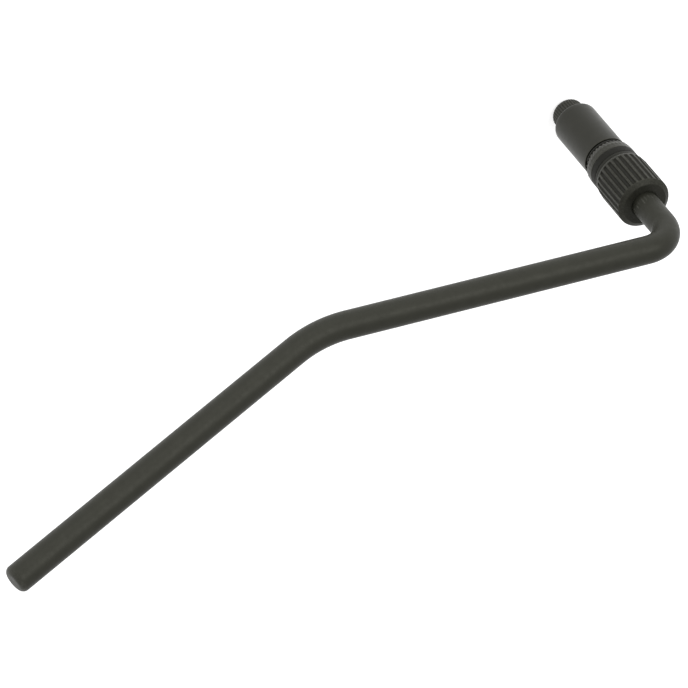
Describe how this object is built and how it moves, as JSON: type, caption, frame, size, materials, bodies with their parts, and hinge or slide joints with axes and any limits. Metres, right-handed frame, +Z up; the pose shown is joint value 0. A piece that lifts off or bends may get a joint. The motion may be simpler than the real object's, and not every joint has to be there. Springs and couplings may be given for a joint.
{
  "type": "guitar tremolo arm",
  "caption": "Bent round bar that swivels in a push-in sleeve, with a fluted collar nut that sets how stiffly it turns.",
  "frame": {"origin": "on the swivel axis, in the seat plane under the sleeve's flange", "axes": "+Z up the swivel axis towards the first bend, +X along the straight that follows it, +Y on the side the grip leans to"},
  "size_m": [0.163, 0.0309, 0.0816],
  "materials": {
    "bar_finish": "satin black coating on steel",
    "sleeve_finish": "smooth dark plating on steel",
    "nut_finish": "matt black coating on steel",
    "lock_black": "dull black nylon",
    "nylon": "natural nylon",
    "bronze": "bare bronze",
    "plain_steel": "bare steel",
    "spring_steel": "dark spring steel"
  },
  "bodies": {
    "socket": {"sleeve": "sleeve_finish", "detent_ring": "spring_steel", "lock_ring": "lock_black", "stop_ring": "nut_finish", "upper_bush": "nylon", "lower_bush": "nylon", "thrust_washer": "bronze"},
    "arm": {"bar": "bar_finish", "retaining_nut": "nut_finish", "retaining_washer": "plain_steel", "disc_spring": "spring_steel"},
    "clamp": {"collet": "lock_black"},
    "collar": {"collar_nut": "nut_finish"}
  },
  "joints": [
    {"name": "arm_swivel", "type": "hinge", "parent": "socket", "child": "arm", "pos_m": [0, 0, 0], "axis": [0, 0, 1], "continuous": true},
    {"name": "nut_travel", "type": "slide", "parent": "socket", "child": "clamp", "axis": [0, 0, 1], "range_m": [0, 0.0045]},
    {"name": "nut_turn", "type": "hinge", "parent": "clamp", "child": "collar", "pos_m": [0, 0, 0], "axis": [0, 0, 1], "range_deg": [0, 2160]}
  ],
  "couplings": [
    {"joint": "nut_turn", "follows": "nut_travel", "rad_per_m": 8377.6}
  ]
}
